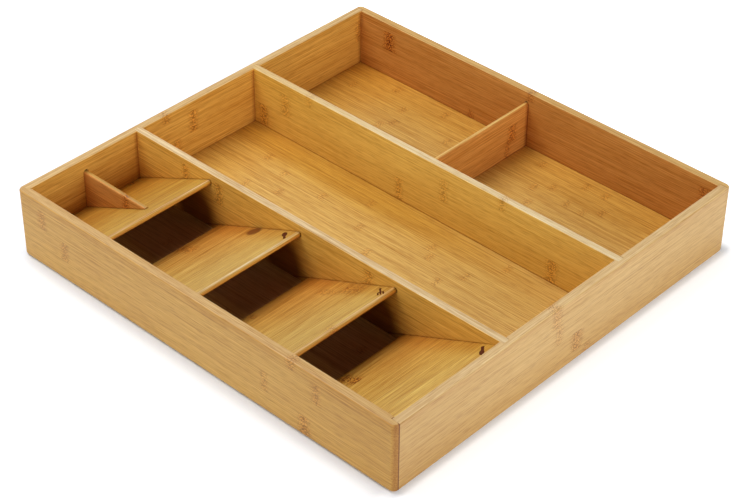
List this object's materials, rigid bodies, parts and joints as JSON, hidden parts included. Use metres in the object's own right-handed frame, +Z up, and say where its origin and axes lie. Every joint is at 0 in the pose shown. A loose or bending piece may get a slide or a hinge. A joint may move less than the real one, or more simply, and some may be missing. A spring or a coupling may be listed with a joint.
{
  "type": "cutlery drawer organizer",
  "caption": "Bamboo drawer insert for cutlery: a tray with sloped overlapping shelves in one column and open compartments beside them.",
  "frame": {"origin": "middle of the footprint, on the surface that the tray stands on", "axes": "+X to the right, across the three columns, with the shelves on the -X side; +Y to the rear, along the columns; +Z up, out of the open top"},
  "size_m": [0.3886, 0.4, 0.063],
  "materials": {
    "side_wall_bamboo": "oiled satin",
    "end_wall_bamboo": "oiled satin",
    "panel_bamboo": "oiled satin",
    "divider_bamboo": "oiled satin",
    "thin_board_bamboo": "oiled satin",
    "shelf_bamboo": "oiled satin"
  },
  "bodies": {
    "root": {"left_side_wall": "side_wall_bamboo", "right_side_wall": "side_wall_bamboo", "front_wall": "end_wall_bamboo", "rear_wall": "end_wall_bamboo", "bottom_panel": "panel_bamboo", "left_divider": "divider_bamboo", "right_divider": "divider_bamboo", "cross_divider": "thin_board_bamboo", "cell_divider": "thin_board_bamboo", "sloped_shelf_1": "shelf_bamboo", "sloped_shelf_2": "shelf_bamboo", "sloped_shelf_3": "shelf_bamboo", "sloped_shelf_4": "shelf_bamboo"}
  },
  "joints": []
}
